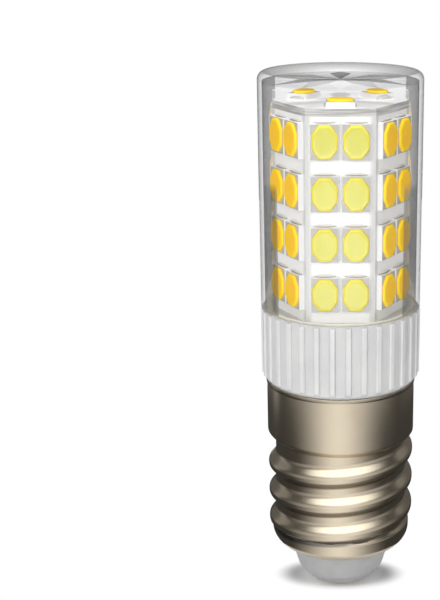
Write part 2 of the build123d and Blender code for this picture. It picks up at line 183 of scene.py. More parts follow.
# Cream bead, with waves of (number a turn, start, height) on its slope
BEAD_WIDTH = 0.75
SLOPE_FOOT_INSET = 0.55
SLOPE_FOOT_RISE = 0.22
SLOPE_TOP_RISE = 0.28
BEAD_GAP = 0.02
BEAD_SEGMENTS = 240
BEAD_WAVES = ((7, 0, 0.024), (17, 1, 0.018), (31, 2, 0.012))

# LED packages
ROWS = 4
FACES = 6
ROW_PITCH = 4.9
COLUMN_GAP = 0.15
TOP_MARGIN = 0.55
PACKAGE_WIDTH = 2.8
PACKAGE_LENGTH = 3.5
PACKAGE_HEIGHT = 0.5
TOP_PACKAGE_LENGTH = 2.8
TOP_PACKAGE_WIDTH = 2.3
TOP_PACKAGE_OFFSET = 4.1
TOP_PACKAGES = 3
PHOSPHOR_MARGIN = 0.16
PHOSPHOR_HEIGHT = 0.25
PHOSPHOR_CORNER = 0.56
BODY_CORNER = 0.03
SOLDER_REACH = 0.33
SOLDER_RISE = 0.2
SOLDER_HALF_SHARE = 0.38
LOWER_HALF_SHARE = 0.36
LOWER_REACH = 0.264
LOWER_RISE = 0.1
DARK_FOOT_ENDS = (0.68, 0.95)
# Painted highlight: sides whose phosphor is a pale lit copy of the amber
PAINTED_PALE_SIDES = (1,)
# Painted glow of the amber phosphor
GLOW = 0.1

# Painted shade along the edges of a side board, where the boards meet, in shares of its width
CORNER_SHADE_ENDS = (0.02, 0.1)


# Shader arithmetic


class Wire:
    """One output of a shader node. Sums and products of wires add Math nodes to the same tree."""

    def __init__(self, tree, output=None):
        self.tree = tree
        self.output = output

    def node(self, kind, settings=None, inputs=None, output=0):
        """Adds a node: its settings come first, then the numbers, colours or wires of its sockets."""
        made = self.tree.nodes.new("ShaderNode" + kind)
        for key, value in (settings or {}).items():
            if key == "stops":
                fill_ramp(made.color_ramp, value)
            else:
                setattr(made, key, value)
        for key, value in (inputs or {}).items():
            if isinstance(value, Wire):
                self.tree.links.new(value.output, made.inputs[key])
            else:
                made.inputs[key].default_value = value
        return Wire(self.tree, made.outputs[output] if made.outputs else None)

    def math(self, operation, *values):
        return self.node("Math", {"operation": operation}, dict(enumerate(values)))

    def __add__(self, other):
        return self.math("ADD", self, other)

    def __sub__(self, other):
        return self.math("SUBTRACT", self, other)

    def __mul__(self, other):
        return self.math("MULTIPLY", self, other)

    def __rsub__(self, other):
        return self.math("SUBTRACT", other, self)

    __rmul__ = __mul__


def fill_ramp(ramp, stops):
    """Puts (place, colour) stops into a colour ramp."""
    while len(ramp.elements) < len(stops):
        ramp.elements.new(1.0)
    for element, (place, colour) in zip(ramp.elements, stops):
        element.position = place
        element.color = colour if len(colour) == 4 else (*colour, 1.0)


def grey(value):
    return (value, value, value, 1.0)


def new_material(name):
    """An empty node material, and a wire to build its tree with."""
    made = bpy.data.materials.new(name)
    made.use_nodes = True
    made.node_tree.nodes.clear()
    return made, Wire(made.node_tree)


def show(wire, shader):
    """Links a shader to the material's output."""
    wire.node("OutputMaterial", inputs={"Surface": shader})


def object_place(wire):
    return wire.node("TexCoord", output="Object")


def part(wire, vector, axis):
    """One coordinate of a vector."""
    return wire.node("SeparateXYZ", inputs={0: vector}, output=axis)


def noise(wire, scale, detail=3.0):
    """Noise from 0 to 1 on object coordinates, at a number of features a metre."""
    sockets = {"Vector": object_place(wire), "Scale": scale, "Detail": detail, "Roughness": 0.55}
    return wire.node("TexNoise", inputs=sockets)


def blend(wire, share, first, second, kind="MIX"):
    """Colour that runs from the first to the second as the share goes from 0 to 1."""
    first, second = (end if isinstance(end, Wire) else (*end[:3], 1.0) for end in (first, second))
    settings = {"data_type": "RGBA", "blend_type": kind}
    return wire.node("Mix", settings, {0: share, 6: first, 7: second}, output=2)


def bump(wire, height, strength, distance):
    """Bump of a height that is given in millimetres."""
    return wire.node("Bump", inputs={"Height": height, "Strength": strength, "Distance": distance * MM})


def mixed(wire, share, first, second):
    """Shader that runs from the first to the second as the share goes from 0 to 1."""
    return wire.node("MixShader", inputs={0: share, 1: first, 2: second})


def ramped(wire, value, low, high, start=0.0, end=1.0):
    """Smooth step of a value between two places."""
    settings = {"interpolation_type": "SMOOTHSTEP"}
    return wire.node("MapRange", settings, {0: value, 1: low, 2: high, 3: start, 4: end})


def attribute(wire, name):
    return wire.node("Attribute", {"attribute_name": name}, output="Fac")


def clouded(wire, cloud, dark, light):
    """Colour between two near tones, over the middle of the range of a noise."""
    return blend(wire, ramped(wire, cloud, 0.3, 0.7), dark, light)


def show_surface(wire, sockets):
    """Links a plain surface with these sockets to the material's output."""
    show(wire, wire.node("BsdfPrincipled", inputs=sockets))


def mottled(name, dark, light, rough, scale, metallic=0.0, depth=0.0):
    """Plain finish of a maker's stock: two near tones in fine noise, with roughness and bump from it."""
    made, wire = new_material(name)
    colour = clouded(wire, noise(wire, scale), dark, light)
    fine = noise(wire, scale * 6, 2.0)
    roughness = fine * (rough[1] - rough[0]) + rough[0]
    sockets = {"Base Color": colour, "Roughness": roughness, "Metallic": metallic}
    if depth:
        sockets["Normal"] = bump(wire, fine, 0.5, depth)
    show_surface(wire, sockets)
    return made


# Meshes


def grid_quads(rows, columns, close_rows=False, close_columns=False):
    """Corner numbers of the quads of a grid of points, row by row."""
    i = np.arange(rows if close_rows else rows - 1)[:, None]
    j = np.arange(columns if close_columns else columns - 1)[None, :]
    after_i, after_j = (i + 1) % rows, (j + 1) % columns
    corners = (i * columns + j, after_i * columns + j, after_i * columns + after_j, i * columns + after_j)
    return np.stack(np.broadcast_arrays(*corners), -1).reshape(-1, 4)


def solid_volume(points, faces):
    """Signed volume of closed faces: the sum of tetrahedra from the origin to each of their triangles."""
    total = 0.0
    for corners in faces:
        for k in range(1, corners.shape[1] - 1):
            a, b, c = points[corners[:, 0]], points[corners[:, k]], points[corners[:, k + 1]]
            total += np.einsum("ij,ij->", a, np.cross(b, c)) / 6
    return total


def make_piece(name, points, faces, material, replaced=(), sharp=35.0, marks=None, face_marks=None):
    """Writes points in millimetres and lists of faces as a piece that rides on the bulb.

    Marks are numbers by name, one for each point or face, which the materials read.
    """
    points = points.reshape(-1, 3)
    if solid_volume(points, faces) < 0:
        faces = [corners[:, ::-1] for corners in faces]
    mesh = bpy.data.meshes.new(name)
    mesh.vertices.add(len(points))
    mesh.vertices.foreach_set("co", (points * MM).astype(np.float32).ravel())
    sizes = np.concatenate([np.full(len(corners), corners.shape[1]) for corners in faces])
    loops = np.concatenate([corners.ravel() for corners in faces])
    mesh.loops.add(len(loops))
    mesh.loops.foreach_set("vertex_index", loops.astype(np.int32))
    mesh.polygons.add(len(sizes))
    mesh.polygons.foreach_set("loop_start", (np.cumsum(sizes) - sizes).astype(np.int32))
    mesh.polygons.foreach_set("loop_total", sizes.astype(np.int32))
    for domain, layers in (("POINT", marks), ("FACE", face_marks)):
        for label, values in (layers or {}).items():
            layer = mesh.attributes.new(label, "FLOAT", domain)
            layer.data.foreach_set("value", np.ravel(values).astype(np.float32))
    mesh.update(calc_edges=True)
    mesh.validate()
    mesh.shade_smooth()
    mesh.set_sharp_from_angle(angle=radians(sharp))
    made = bpy.data.objects.new(name, mesh)
    bpy.context.scene.collection.objects.link(made)
    made.data.materials.append(material)
    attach(made, "root")
    if replaced:
        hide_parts(*replaced)


def round_outline(corners, steps=6):
    """Outline through (x, y, radius) corners. A radius makes an arc that is tangent to both sides."""
    places = np.array([corner[:2] for corner in corners], float)
    line = []
    for k, (x, y, radius) in enumerate(corners):
        if radius == 0 or k in (0, len(corners) - 1):
            line.append((x, y))
            continue
        before, after = places[k - 1] - places[k], places[k + 1] - places[k]
        before, after = before / np.linalg.norm(before), after / np.linalg.norm(after)
        half = np.arccos(np.clip(before @ after, -1, 1)) / 2
        reach = radius / tan(half)
        middle = (before + after) / np.linalg.norm(before + after)
        centre = places[k] + middle * radius / sin(half)
        start, end = places[k] + before * reach - centre, places[k] + after * reach - centre
        turn = np.arctan2(start[0] * end[1] - start[1] * end[0], start @ end)
        for angle in np.linspace(0, turn, steps):
            turned_x = start[0] * cos(angle) - start[1] * sin(angle)
            turned_y = start[0] * sin(angle) + start[1] * cos(angle)
            line.append(centre + (turned_x, turned_y))
    return np.array(line)


def soft_step(value, start, end):
    """0 before start and 1 after end, with a smooth cubic between."""
    t = np.clip((value - start) / (end - start), 0, 1)
    return t * t * (3 - 2 * t)


def full_turn(count):
    """Angles of even steps round a circle."""
    return np.arange(count) * 2 * pi / count


def about_axis(angle, radius, height):
    """Points x = r cos a, y = r sin a, one row an angle and one column a height."""
    x, y = np.cos(angle)[:, None] * radius, np.sin(angle)[:, None] * radius
    return np.stack([x, y, np.broadcast_to(height, x.shape)], -1)


def lathe(profile, segments):
    """Profile of (radius, height) turned about Z."""
    return about_axis(full_turn(segments), profile[:, 0], profile[:, 1])


def ring_faces(points):
    """Quads of a closed outline that was turned about Z."""
    return [grid_quads(*points.shape[:2], close_rows=True, close_columns=True)]


def fan(edge, tip):
    """Triangles from each side of a closed edge of corner numbers to one tip."""
    return np.stack([edge, np.full_like(edge, tip), np.roll(edge, -1)], -1)


def turned(name, corners, material, replaced, segments=144):
    """Closed outline of (radius, height, rounding) turned about Z, its last point joined to its first."""
    points = lathe(round_outline(corners), segments)
    make_piece(name, points, ring_faces(points), material, replaced)


# Clear cover


def cover_material():
    """Polished clear plastic that is seen straight through, with gloss at the limb of its inner wall and a
    painted reflection on its roof.

    Gloss grows with the fifth power of facing. High up only the far wall has the limb's gloss, so that the
    LEDs stay clear in front of it.
    """
    made, wire = new_material("clear_cover")
    facing = wire.node("LayerWeight", inputs={"Blend": 0.5}, output="Facing")
    grazing = facing.math("POWER", facing, 5.0) * GRAZING_GLOSS + SQUARE_GLOSS
    camera_ray = wire.node("LightPath", output="Is Camera Ray")
    clear = wire.node("BsdfTransparent", inputs={"Color": grey(0.99)})
    # Painted reflection: a grey see-through tint by face on the roof's facets and rounded edge
    reflection_grey = wire.node("BsdfTransparent", inputs={"Color": grey(0.2)})
    faceted = mixed(wire, attribute(wire, "facet_tone"), clear, reflection_grey)
    gloss = wire.node("BsdfGlossy", inputs={"Color": grey(0.98), "Roughness": 0.02})
    high = ramped(wire, part(wire, object_place(wire), "Z"), *(place * MM for place in NEAR_LIMB_ENDS))
    near_and_high = wire.node("NewGeometry", output="Backfacing") * high
    limb = ramped(wire, facing, *LIMB_FACING, 0.0, LIMB_SHARE) * attribute(wire, "inner_wall")
    limb = limb * camera_ray * (1.0 - near_and_high)
    surface = grazing * (1.0 - (1.0 - ROOF_GLOSS) * attribute(wire, "roof"))
    show(wire, mixed(wire, surface.math("MAXIMUM", surface, limb), faceted, gloss))
    return made


def cover():
    """Hollow tube with a rounded edge and a closed roof that has a ring of triangles and wedges below.

    The painted reflection tones are in the order of the faces: wall, step to the facets, roof, ring and two
    sets of wedges.
    """
    inside = COVER_INSIDE
    ceiling = COVER_TOP_Z - COVER_ROOF
    drop = ceiling - FACET_RISE
    outline = round_outline([
        (0.0, COVER_TOP_Z, 0), (COVER_RADIUS, COVER_TOP_Z, COVER_EDGE), (COVER_RADIUS, RIM_Z, FOOT_ROUND),
        (inside, RIM_Z, FOOT_ROUND), (inside, drop, 0),
    ], steps=10)
    skin = lathe(outline[1:], COVER_SEGMENTS)
    rows, columns = skin.shape[:2]
    side = COVER_SEGMENTS // FACET_COUNT
    around = full_turn(FACET_COUNT)
    corner = (inside - FACET_BORDER) * np.stack([np.cos(around), np.sin(around)], -1)
    share = (np.arange(side) / side)[None, :, None]
    rim = (corner[:, None] * (1 - share) + np.roll(corner, -1, 0)[:, None] * share).reshape(-1, 2)
    rim = np.column_stack([rim, np.full(len(rim), drop)])
    half = around + pi / FACET_COUNT
    inner = inside * FACET_RING_SHARE * np.stack([np.cos(half), np.sin(half)], -1)
    inner = np.column_stack([inner, np.full(FACET_COUNT, ceiling)])
    apex, middle = [[0.0, 0.0, COVER_TOP_Z]], [[0.0, 0.0, ceiling - FACET_DIP]]
    points = np.concatenate([skin.reshape(-1, 3), apex, rim, inner, middle])
    apex_at = rows * columns
    rim_at = apex_at + 1
    inner_at = rim_at + COVER_SEGMENTS
    middle_at = inner_at + FACET_COUNT
    i = np.arange(COVER_SEGMENTS)
    after = np.roll(i, -1)
    k = np.arange(FACET_COUNT)
    k_after = np.roll(k, -1)
    last = columns - 1
    quads = [
        grid_quads(rows, columns, close_rows=True),
        np.stack([i * columns + last, after * columns + last, rim_at + after, rim_at + i], -1),
    ]
    triangles = [
        fan(i * columns, apex_at),
        np.stack([rim_at + i, rim_at + after, inner_at + i // side], -1),
        np.stack([inner_at + k, rim_at + k_after * side, inner_at + k_after], -1),
        np.stack([inner_at + k, inner_at + k_after, np.full_like(k, middle_at)], -1),
    ]
    # Painted reflection tones of the wedges, their ring and the rounded edge
    from_back = np.abs((np.degrees(around) - 90 + 180) % 360 - 180)
    wedge_tone = np.array(FACET_REFLECTION_TONES)[np.round(from_back / 360 * FACET_COUNT).astype(int)]
    next_tone = np.roll(wedge_tone, -1)
    wall_tone = np.tile(outline[1:-1, 1] > COVER_TOP_Z - COVER_EDGE, rows) * EDGE_REFLECTION_TONE
    plain = np.zeros(2 * COVER_SEGMENTS)
    ring_tone = np.repeat((next_tone + wedge_tone) / 2, side) * RING_REFLECTION_TONE
    tones = np.concatenate([wall_tone, plain, ring_tone, next_tone, next_tone])
    inner_wall, roof = np.zeros(len(points)), np.ones(len(points))
    inner_wall[:apex_at] = np.tile(outline[1:, 0] < inside + TOUCH, rows)
    roof[:apex_at] = np.tile(outline[1:, 1] > COVER_TOP_Z - ROOF_DROP, rows)
    faces = [np.concatenate(quads), np.concatenate(triangles)]
    make_piece(
        "clear_cover", points, faces, cover_material(), ["cover"], sharp=25.0,
        marks={"inner_wall": inner_wall, "roof": roof}, face_marks={"facet_tone": tones},
    )


# Ceramic collar


def ceramic_material():
    """Unglazed white ceramic with a fine grain, and painted shade and highlight across each rib: greyer in
    the grooves and low on its flanks, lightest high on its flanks.
    """
    made, wire = new_material("collar_ceramic")
    cloud = noise(wire, 260.0)
    grain = noise(wire, 5200.0, 2.0)
    plain = clouded(wire, cloud, (0.6, 0.6, 0.605), (0.65, 0.65, 0.645))
    # Painted shade and highlight by the rib's height: grey in the grooves, darkest low on the flanks,
    # lightest high on them
    stops = [(0.0, grey(0.9)), (0.3, (0.76, 0.76, 0.77)), (0.65, grey(1.08)), (0.95, grey(1.0))]
    rib = wire.node("ValToRGB", {"stops": stops}, {0: attribute(wire, "rib")})
    show_surface(wire, {
        "Base Color": blend(wire, 1.0, plain, rib, "MULTIPLY"), "Roughness": grain * 0.1 + 0.45,
        "Normal": bump(wire, grain, 0.12, 0.01),
    })
    return made


def rib_height(arc):
    """Share of a rib's height at a distance along the wall from its middle, with round shoulders."""
    reach = RIB_WIDTH / 2
    return 1 - soft_step(np.abs(arc), reach - RIB_ROUND, reach + RIB_ROUND / 2)


def collar():
    """Ribbed wall, closed inwards by its rim, floor, bore and spigot."""
    root = COVER_RADIUS - RIB_DEPTH
    ceiling = FLOOR_Z - COLLAR_FLOOR
    wall_z = np.linspace(RIM_Z - RIM_EDGE, COLLAR_Z + COLLAR_FOOT, COLLAR_ROWS)
    top = round_outline([
        (COVER_INSIDE, FLOOR_Z, 0), (COVER_INSIDE, RIM_Z, 0.03), (root, RIM_Z, 0.06), (root, wall_z[0], 0),
    ], steps=5)
    low = round_outline([
        (root, COLLAR_Z + COLLAR_FOOT, 0), (root - COLLAR_FOOT, COLLAR_Z, 0.05),
        (SPIGOT_RADIUS, COLLAR_Z, 0), (SPIGOT_RADIUS, SPIGOT_Z, 0.2), (COLLAR_BORE, SPIGOT_Z, 0.15),
        (COLLAR_BORE, ceiling, 0.3), (0, ceiling, 0),
    ], steps=5)[:-1]
    wall = np.column_stack([np.full(len(wall_z), root), wall_z])
    profile = np.concatenate([top, wall[1:-1], low])
    angle = full_turn(RIB_COUNT * RIB_STEPS)
    step = 2 * pi / RIB_COUNT
    arc = ((angle / step) % 1 - 0.5) * step * COVER_RADIUS
    radius, height = profile[:, 0], profile[:, 1]
    head = 1 - soft_step(height, RIM_Z - RIB_TOP_DROP - RIB_HEAD, RIM_Z - RIB_TOP_DROP)
    foot = soft_step(height, COLLAR_Z + RIB_FOOT_RISE, COLLAR_Z + RIB_FOOT_RISE + RIB_FOOT)
    on_wall = (radius > root - TOUCH) & (height > COLLAR_Z)
    rib = rib_height(arc)[:, None] * (head * foot * on_wall)[None, :]
    points = about_axis(angle, radius[None, :] + rib * RIB_DEPTH, height)
    rows, columns = rib.shape
    flat = np.concatenate([points.reshape(-1, 3), [[0, 0, FLOOR_Z], [0, 0, ceiling]]])
    first = np.arange(rows) * columns
    above, below = fan(first, rib.size), fan(first + columns - 1, rib.size + 1)[:, ::-1]
    faces = [grid_quads(rows, columns, close_rows=True), np.concatenate([above, below])]
    marks = {"rib": np.append(rib, [0, 0])}
    make_piece(
        "ribbed_collar", flat, faces, ceramic_material(), ["collar"], sharp=40.0,
        marks=marks,
    )


# Screw cap


def cap_material():
    """Satin nickel with a champagne cast and a fine drawn grain, with painted shade under each turn of the
    thread and on the rolled edge.
    """
    made, wire = new_material("cap_nickel")
    grain = noise(wire, 9000.0, 2.0)
    cloud = noise(wire, 180.0)
    plain = clouded(wire, cloud, (0.74, 0.64, 0.49), (0.79, 0.685, 0.53))
    # Painted shade: the nickel runs to a dark brown where the shade mark is set
    colour = blend(wire, attribute(wire, "shade"), plain, (0.27, 0.245, 0.21))
    show_surface(wire, {
        "Base Color": colour, "Metallic": 1.0, "Roughness": grain * 0.06 + 0.2,
        "Normal": bump(wire, grain, 0.12, 0.01),
    })
    return made


def thread_form(angle, z):
    """Height of the rolled thread at an angle and height on the cap, and the shade under its crest.

    The crest climbs one pitch a turn and passes the front, at -90 degrees, at FRONT_CREST_Z. Its section is
    a trapezoid averaged over a short window, which rounds its corners, and it fades out at both its ends.
    """
    from_front = (angle + pi / 2) / (2 * pi)
    turns = (z - FRONT_CREST_Z) / PITCH - from_front
    nearest = np.round(turns)
    away = (turns - nearest) * PITCH
    reach = CREST_WIDTH / 2
    shape = 0
    for shift in np.linspace(-THREAD_ROUND, THREAD_ROUND, THREAD_SAMPLES):
        height = np.clip((reach + FLANK_WIDTH - np.abs(away + shift)) / FLANK_WIDTH, 0, 1)
        shape = shape + height / THREAD_SAMPLES
    climbed = nearest + from_front
    lowest = (THREAD_START_Z - FRONT_CREST_Z) / PITCH
    highest = (THREAD_END_Z - FRONT_CREST_Z) / PITCH
    fade = soft_step(climbed, lowest, lowest + THREAD_FADE)
    fade = fade * (1 - soft_step(climbed, highest - THREAD_FADE, highest))
    below = -away - reach
    under = soft_step(below, *SHADE_STARTS) * (1 - soft_step(below, *SHADE_ENDS))
    return THREAD_DEPTH * shape * fade, under * fade


def cap_skin(inset, z):
    """Radius of the pressed cap without its thread at a height, moved inwards by the sheet."""
    root = CREST_RADIUS - THREAD_DEPTH - inset
    cup = CREST_RADIUS - CUP_DEPTH - inset
    skirt = SKIRT_RADIUS - inset
    cup_z = SHELL_Z + CUP_HEIGHT
    skirt_z = COLLAR_Z - SKIRT_LENGTH
    below = (cup - root) * (1 - soft_step(z, cup_z, cup_z + CUP_TAPER))
    start, end = skirt_z - SKIRT_CORNER_HEIGHT + inset, skirt_z + SKIRT_TAPER + inset
    return root + below + (skirt - root) * soft_step(z, start, end)


def cap():
    """Sheet cap: its section runs up the outside and back down inside, at the sheet's thickness."""
    root = CREST_RADIUS - THREAD_DEPTH
    cup = CREST_RADIUS - CUP_DEPTH
    proud = SKIRT_RADIUS + EDGE_PROUD
    bend_z = SHELL_Z + CUP_ROUND
    bend_top = bend_z + CAP_STEP / 2
    foot = [(WINDOW_RADIUS, SHELL_Z, 0), (cup, SHELL_Z, CUP_ROUND), (cup, bend_top, 0)]
    base = round_outline(foot, steps=12)
    wall_z = np.arange(bend_z + CAP_STEP, COLLAR_Z - EDGE_HEIGHT, CAP_STEP)
    edge = round_outline([
        (SKIRT_RADIUS, COLLAR_Z - EDGE_HEIGHT, 0), (proud, COLLAR_Z - EDGE_HEIGHT * 0.75, EDGE_ROUND),
        (proud, COLLAR_Z - EDGE_HEIGHT * 0.25, EDGE_ROUND), (SKIRT_RADIUS, COLLAR_Z, 0),
        (SKIRT_RADIUS - SHEET, COLLAR_Z, 0),
    ], steps=5)
    inner_z = np.arange(COLLAR_Z - INNER_DROP, bend_z + CAP_STEP, -2 * CAP_STEP)
    inner_base = round_outline([
        (cup - SHEET, bend_top, 0), (cup - SHEET, SHELL_Z + SHEET, CUP_ROUND - SHEET),
        (WINDOW_RADIUS, SHELL_Z + SHEET, 0),
    ])
    height = np.concatenate([base[:, 1], wall_z, edge[:, 1], inner_z, inner_base[:, 1]])
    outer_skin, inner_skin = cap_skin(0, wall_z), cap_skin(SHEET, inner_z)
    skin = np.concatenate([base[:, 0], outer_skin, edge[:, 0], inner_skin, inner_base[:, 0]])
    rows = np.arange(len(height))
    first_edge = len(base) + len(wall_z)
    first_inner = first_edge + len(edge)
    outside = (rows >= len(base)) & (rows < first_edge)
    inside = (rows >= first_inner) & (rows < first_inner + len(inner_z))
    angle = full_turn(CAP_SEGMENTS)
    raised, shade = thread_form(angle[:, None], height[None, :])
    threaded = np.where(inside, root - SHEET, root)[None, :] + raised
    radius = np.where((outside | inside)[None, :], np.maximum(skin[None, :], threaded), skin[None, :])
    points = about_axis(angle, radius, height)
    shade = shade * outside[None, :]
    # Painted shade on the rolled edge at the top of the skirt
    shade[:, first_edge:first_inner] = EDGE_SHADE
    make_piece(
        "screw_cap", points, ring_faces(points), cap_material(), ["cap_shell"], sharp=60.0,
        marks={"shade": shade},
    )


# Insulator, contact and cement


def insulator():
    """Moulded bowl: round belly outside, flange and hollow inside."""
    low, high = INSULATOR_LOW[2], INSULATOR_HIGH[2]
    tones = (0.38, 0.38, 0.385), (0.425, 0.425, 0.425)
    material = mottled("insulator_grey", *tones, (0.32, 0.4), 700.0, depth=0.01)
    window_z = SHELL_Z + SHEET
    hollow_z = low + BOWL_THICKNESS
    corners = [
        (SHANK_RADIUS, low, 0), (BOWL_FOOT_RADIUS, low, 0.5),
        (BELLY_RADIUS, low + BELLY_HEIGHT, BELLY_ROUND), (NECK_RADIUS, SHELL_Z, 0),
        (GROOVE_RADIUS, SHELL_Z, 0), (GROOVE_RADIUS, window_z, 0),
        (FLANGE_RADIUS, window_z, 0), (FLANGE_RADIUS, high, 0.15),
        (HOLLOW_RADIUS, high, 0.1), (HOLLOW_RADIUS, low + HOLLOW_RISE, 0.4),
        (HOLLOW_FLOOR_RADIUS, hollow_z, 0.3), (SHANK_RADIUS, hollow_z, 0),
    ]
    turned("insulator_bowl", corners, material, ["insulator"])


def contact():
    """Riveted contact: domed head under the bowl and a shank through it."""
    material = mottled("contact_nickel", (0.66, 0.6, 0.5), (0.74, 0.68, 0.58), (0.25, 0.35), 1500.0, 1.0)
    tip, head, end = CONTACT_LOW[2], INSULATOR_LOW[2], CONTACT_HIGH[2]
    axis = 0.001
    corners = [
        (axis, tip, 0), (RIVET_TIP_RADIUS, tip, 0.5), (RIVET_RADIUS, head - RIVET_EDGE, 0.3),
        (RIVET_RADIUS, head, 0.08), (SHANK_RADIUS, head, 0), (SHANK_RADIUS, end, 0.15), (axis, end, 0),
    ]
    turned("contact_rivet", corners, material, ["centre_contact"], segments=96)


def cement():
    """Cream bead round the cover's foot, its inner slope slightly wavy."""
    tones = (0.68, 0.65, 0.55), (0.76, 0.735, 0.65)
    material = mottled("cream_cement", *tones, (0.5, 0.62), 500.0, depth=0.03)
    wall = COVER_INSIDE - BEAD_GAP
    points = lathe(round_outline([
        (BEAD_RADIUS - BEAD_WIDTH, FLOOR_Z, 0),
        (COVER_INSIDE - SLOPE_FOOT_INSET, FLOOR_Z + SLOPE_FOOT_RISE, 0.2),
        (wall, RIM_Z + SLOPE_TOP_RISE, 0.1), (wall, RIM_Z, 0), (COVER_INSIDE - 0.1, FLOOR_Z, 0),
    ]), BEAD_SEGMENTS)
    turn = full_turn(BEAD_SEGMENTS)
    wave = sum(height * np.sin(count * turn + start) for count, start, height in BEAD_WAVES)
    points[:, 1:-2, 2] += wave[:, None]
    make_piece(
        "cover_cement", points, ring_faces(points), material, ["cover_adhesive"], sharp=50.0,
    )


# LED packages


def eight_corners(across, along, share):
    """Corners of a rectangle of two half sizes, each cut off at a share of both, in turning order."""
    keep = 1 - share
    quarter = [(across, along * keep), (across * keep, along)]
    corners = []
    for sx, sy in ((1, 1), (-1, 1), (-1, -1), (1, -1)):
        corners += [(sx * x, sy * y) for x, y in (quarter if sx == sy else quarter[::-1])]
    return np.array(corners)


def pillow(across, along, share, levels):
    """Closed block on an eight-cornered outline: levels of (inset, height, mark) from foot to face."""
    rings = [
        np.column_stack([eight_corners(across - inset, along - inset, share), np.full(8, height)])
        for inset, height, mark in levels
    ]
    marks = np.repeat([mark for inset, height, mark in levels], 8)
    last = (len(levels) - 1) * 8
    lids = np.array([np.arange(8)[::-1], last + np.arange(8)])
    return np.concatenate(rings), grid_quads(len(levels), 8, close_columns=True), lids, marks


def placed(shape, places):
    """Copies of a shape's points and faces at places of (origin, across, up, out)."""
    flat, quads, caps, marks = shape
    points, all_quads, all_caps = [], [], []
    for k, (origin, across, up, out) in enumerate(places):
        points.append(origin + flat[:, :1] * across + flat[:, 1:2] * up + flat[:, 2:] * out)
        all_quads.append(quads + k * len(flat))
        all_caps.append(caps + k * len(flat))
    faces = [np.concatenate(all_quads), np.concatenate(all_caps)]
    return np.concatenate(points), faces, np.tile(marks, len(places))


def directions(turn):
    """Directions across, up and out of a side that is turned about Z from the front."""
    return np.array([(cos(turn), sin(turn), 0), (0, 0, 1), (sin(turn), -cos(turn), 0)])


def side_places(face):
    """Places of the eight packages on one side of the tower, row by row from the top."""
    across, up, out = directions(face * 2 * pi / FACES)
    top = BOARD_TOP_Z - TOP_MARGIN - PACKAGE_LENGTH / 2
    step = (PACKAGE_WIDTH + COLUMN_GAP) / 2
    return [
        (out * APOTHEM + across * x + up * (top - row * ROW_PITCH), across, up, out)
        for row in range(ROWS)
        for x in (-step, step)
    ]


def top_places():
    """Places of the three packages on the top board, the first one at the front."""
    places = []
    for k in range(TOP_PACKAGES):
        across, up, out = directions(2 * pi * k / TOP_PACKAGES)
        places.append((out * TOP_PACKAGE_OFFSET + up * PLATE_TOP_Z, out, -across, up))
    return places


def phosphor_material():
    """Phosphor silicone: amber, painted pale lemon in front and lighter on its slope as painted highlights,
    orange at its foot.

    The amber one has less of a coat, and a faint painted glow.
    """
    made, wire = new_material("phosphor_gel")
    rim, amber = attribute(wire, "rim"), attribute(wire, "amber")
    grain = noise(wire, 12000.0, 2.0)
    cloud = noise(wire, 1500.0)
    # Painted highlight: the pale lemon face is a lit copy of the amber one
    painted_pale_face = clouded(wire, cloud, (0.62, 0.595, 0.012), (0.65, 0.62, 0.016))
    amber_face = clouded(wire, cloud, (1.0, 0.56, 0.008), (1.0, 0.6, 0.012))
    face = blend(wire, amber, painted_pale_face, amber_face)
    # Painted highlight: the slope is lighter than the face
    edge = blend(wire, amber, (0.93, 0.8, 0.0), (1.0, 0.72, 0.0))
    foot = blend(wire, amber, (0.95, 0.62, 0.02), (0.95, 0.42, 0.03))
    slope = blend(wire, ramped(wire, rim, 0.0, 0.45), face, edge)
    colour = blend(wire, ramped(wire, rim, 0.7, 1.0), slope, foot)
    show_surface(wire, {
        "Base Color": colour, "Roughness": grain * 0.08 + 0.3, "Normal": bump(wire, grain, 0.1, 0.006),
        "Coat Weight": 1.0 - 0.85 * amber, "Coat Roughness": 0.22, "Coat IOR": 1.7,
        # Painted glow: the amber ones give off a little of their own colour
        "Emission Color": blend(wire, amber, grey(0.0), colour), "Emission Strength": GLOW,
    })
    return made


def solder_material():
    """Solder: bright on its slope, dark brown and less metallic where it ends on the board."""
    made, wire = new_material("bright_solder")
    grain = noise(wire, 9000.0, 2.0)
    dark_foot = ramped(wire, attribute(wire, "foot"), *DARK_FOOT_ENDS)
    bright = blend(wire, grain, (0.8, 0.78, 0.74), (0.9, 0.88, 0.84))
    show_surface(wire, {
        "Base Color": blend(wire, dark_foot, bright, (0.26, 0.21, 0.14)), "Metallic": 0.4 - 0.3 * dark_foot,
        "Roughness": grain * 0.1 + 0.26,
    })
    return made


def package_material():
    """Moulded white package: grey satin face and pale drafted sides."""
    made, wire = new_material("package_white")
    rim = attribute(wire, "rim")
    cloud = noise(wire, 900.0)
    face = clouded(wire, cloud, (0.46, 0.455, 0.435), (0.5, 0.495, 0.48))
    colour = blend(wire, ramped(wire, rim, 0.4, 0.6), face, grey(0.9))
    show_surface(wire, {
        "Base Color": colour, "Roughness": cloud * 0.1 + 0.3, "Coat Weight": 0.3, "Coat Roughness": 0.1,
    })
    return made


